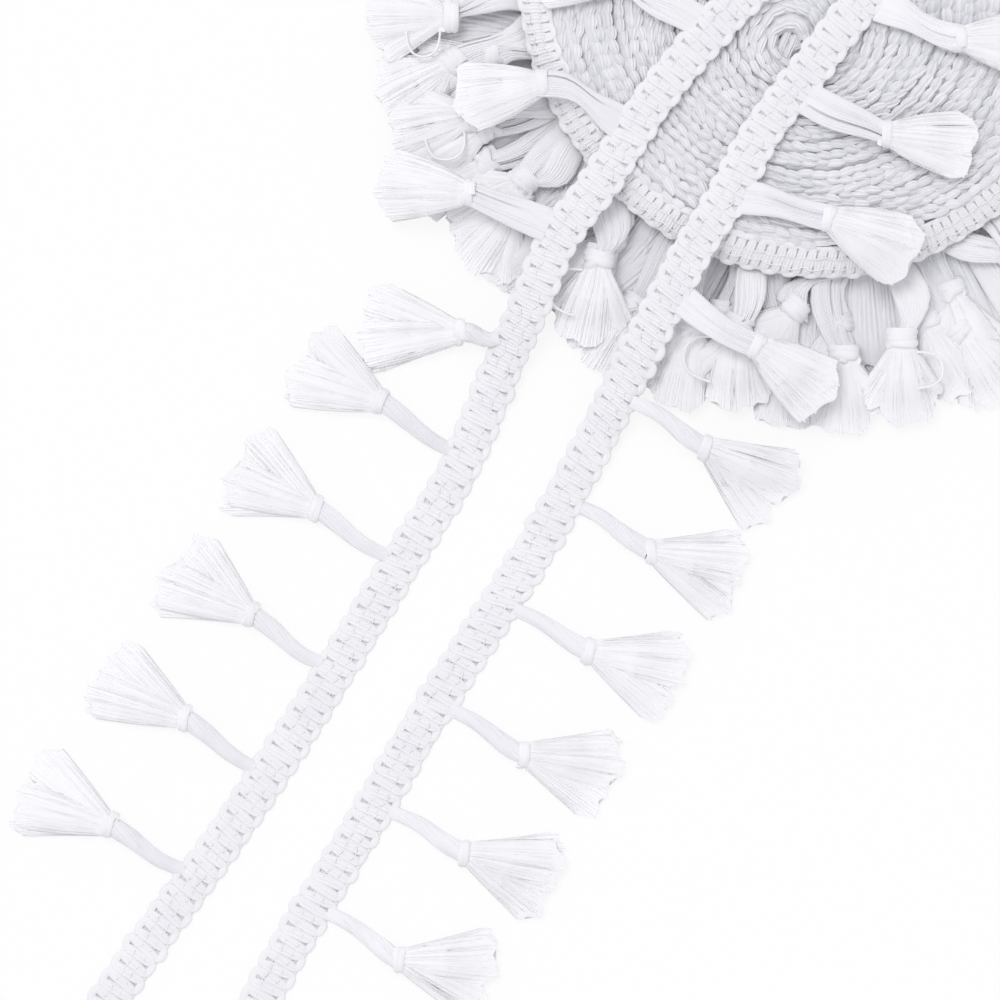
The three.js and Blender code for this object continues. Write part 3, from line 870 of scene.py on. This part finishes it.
def fibre_relief(tree):
    """Fine bumps, drawn out along each yarn."""
    stretch = tree.nodes.new("ShaderNodeVectorMath")
    stretch.operation = "MULTIPLY"
    stretch.inputs[1].default_value = (1.0, 1.0, 0.1)
    tree.links.new(attribute(tree, "spin").outputs["Vector"], stretch.inputs[0])
    fibres = tree.nodes.new("ShaderNodeTexNoise")
    fibres.inputs["Scale"].default_value = 1.5
    fibres.inputs["Detail"].default_value = 3
    tree.links.new(stretch.outputs[0], fibres.inputs["Vector"])
    bump = tree.nodes.new("ShaderNodeBump")
    bump.inputs["Strength"].default_value = 0.6
    bump.inputs["Distance"].default_value = 0.0002
    tree.links.new(fibres.outputs["Fac"], bump.inputs["Height"])
    return bump.outputs["Normal"]


def seen_directly(tree):
    """1 for a ray from the camera, in a reflection or through something clear, or else 0."""
    path = tree.nodes.new("ShaderNodeLightPath")
    seen = path.outputs["Is Camera Ray"]
    for name in ("Is Glossy Ray", "Is Transmission Ray"):
        seen = math_node(tree, "MAXIMUM", seen, path.outputs[name])
    return seen


def floor_material():
    """Plain white, that keeps a soft shadow."""
    material = bpy.data.materials.new("floor")
    material.use_nodes = True
    nodes, links = material.node_tree.nodes, material.node_tree.links
    nodes.clear()
    output = nodes.new("ShaderNodeOutputMaterial")
    diffuse = nodes.new("ShaderNodeBsdfDiffuse")
    diffuse.inputs["Color"].default_value = (0.9, 0.9, 0.91, 1)
    glow = nodes.new("ShaderNodeEmission")
    glow.inputs["Strength"].default_value = 1.0
    tree = material.node_tree
    share = math_node(tree, "MULTIPLY", seen_directly(tree), FLOOR_GLOW)
    mix = nodes.new("ShaderNodeMixShader")
    links.new(share, mix.inputs[0])
    links.new(diffuse.outputs[0], mix.inputs[1])
    links.new(glow.outputs[0], mix.inputs[2])
    links.new(mix.outputs[0], output.inputs["Surface"])
    return material


# ---- Camera, light and floor, in metres -------------------------------------------------------

VIEW_CENTRE = (-0.0888, -0.1459)
VIEW_WIDTH = 0.280
CAMERA_HEIGHT = 2.4


def make_camera():
    """Straight above, and far enough off to flatten the view."""
    camera = bpy.data.cameras.new("camera")
    camera.lens = camera.sensor_width * CAMERA_HEIGHT / VIEW_WIDTH
    camera.clip_end = 20
    holder = bpy.data.objects.new("camera", camera)
    holder.location = (*VIEW_CENTRE, CAMERA_HEIGHT)
    bpy.context.collection.objects.link(holder)
    bpy.context.scene.camera = holder


def make_light():
    """A broad soft key light from above, in an even pale room."""
    sun = bpy.data.lights.new("key", "SUN")
    sun.energy = 1.05
    sun.angle = math.radians(24)
    holder = bpy.data.objects.new("key", sun)
    holder.rotation_euler = (math.radians(-17), math.radians(-14), 0)
    bpy.context.collection.objects.link(holder)
    world = bpy.data.worlds.new("studio")
    world.use_nodes = True
    nodes, links = world.node_tree.nodes, world.node_tree.links
    background = nodes["Background"]
    background.inputs["Color"].default_value = (0.955, 0.955, 0.985, 1)
    strength = nodes.new("ShaderNodeMapRange")
    strength.inputs["To Min"].default_value = 0.80
    strength.inputs["To Max"].default_value = 1.0
    links.new(seen_directly(world.node_tree), strength.inputs["Value"])
    links.new(strength.outputs["Result"], background.inputs["Strength"])
    bpy.context.scene.world = world


def make_floor():
    """A table just under the part."""
    bpy.ops.mesh.primitive_plane_add(size=6, location=(0, 0, -0.0002))
    floor = bpy.context.object
    floor.name = "floor"
    floor.data.materials.append(floor_material())


# ---- Putting it together ----------------------------------------------------------------------


def settle(piece, slot, *nodes):
    """Puts a piece under its body, and hides the CAD nodes that it stands for. slot is not used."""
    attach(piece, "root")
    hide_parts(*nodes)


def make_run(run, braid_cotton, tassel_cotton, seed):
    """A loose run: the braid's ground as a draped sheet, and the cord and tassels on it."""
    rng = np.random.default_rng(seed)
    strip = run_strip(run)
    node = f"{run['name']}_braid"
    ground = Skein()
    lay_backing(ground, strip)
    backing = ground.piece(f"{run['name']}_run_backing", braid_cotton)
    settle(backing, "braid_cotton", node)
    cords = Skein()
    lay_braid(cords, rng, strip)
    cord_piece = cords.piece(f"{run['name']}_run_cord", braid_cotton)
    settle(cord_piece, "braid_cotton", node)
    for index in range(len(run["tassels"])):
        skein = Skein()
        run_tassel(skein, rng, run, strip, index)
        number = f"{run['name']}_tassel_{index + 1:02d}"
        tassel = skein.piece(f"{number}_yarns", tassel_cotton)
        settle(tassel, "tassel_cotton", number)


def make_roll(braid_cotton, tassel_cotton):
    """The roll, from its middle out, and the fringe around it."""
    rng = np.random.default_rng(11)
    strip = wound_strip(rng)
    bed = Skein()
    lay_bed(bed)
    lay_core(bed, rng)
    settle(bed.piece("roll_bed", tassel_cotton), "tassel_cotton", "wound_fringe")
    for name, start, end in (("inner", 0.0, 0.5), ("outer", 0.5, 1.0)):
        turns = Skein()
        lay_petals(turns, rng, strip, start, end)
        lay_wall(turns, strip, start, min(end, WALL_END))
        settle(turns.piece(f"wound_turns_{name}", braid_cotton), "braid_cotton", "wound_braid")
    splayed = Skein()
    lay_braid(splayed, rng, splayed_strip(), SPLAYED_STITCH, fullness=0.89, opening=0.0, tone=1.0)
    lay_backing(splayed, splayed_strip(), above=0.05)
    settle(splayed.piece("splayed_turn", braid_cotton), "braid_cotton", "wound_braid")
    for third in range(FRINGE_THIRDS):
        tassels = Skein()
        lay_fringe(tassels, rng, 180 + third * 360 / FRINGE_THIRDS)
        name = f"fringe_tassels_{third + 1}"
        settle(tassels.piece(name, tassel_cotton), "tassel_cotton", "wound_fringe")
    under = Skein()
    lay_underlayer(under, rng)
    settle(under.piece("fringe_underlayer", tassel_cotton), "tassel_cotton", "wound_fringe")


def main():
    bpy.context.scene.view_settings.view_transform = "Standard"
    make_camera()
    make_light()
    make_floor()
    braid_cotton = cotton("braid_cotton", (0.765, 0.762, 0.795), (0.91, 0.91, 0.92))
    tassel_cotton = cotton("tassel_cotton", (0.80, 0.797, 0.828), (0.95, 0.95, 0.96))
    make_roll(braid_cotton, tassel_cotton)
    for seed, run in enumerate(RUNS, start=1):
        make_run(run, braid_cotton, tassel_cotton, seed)


main()
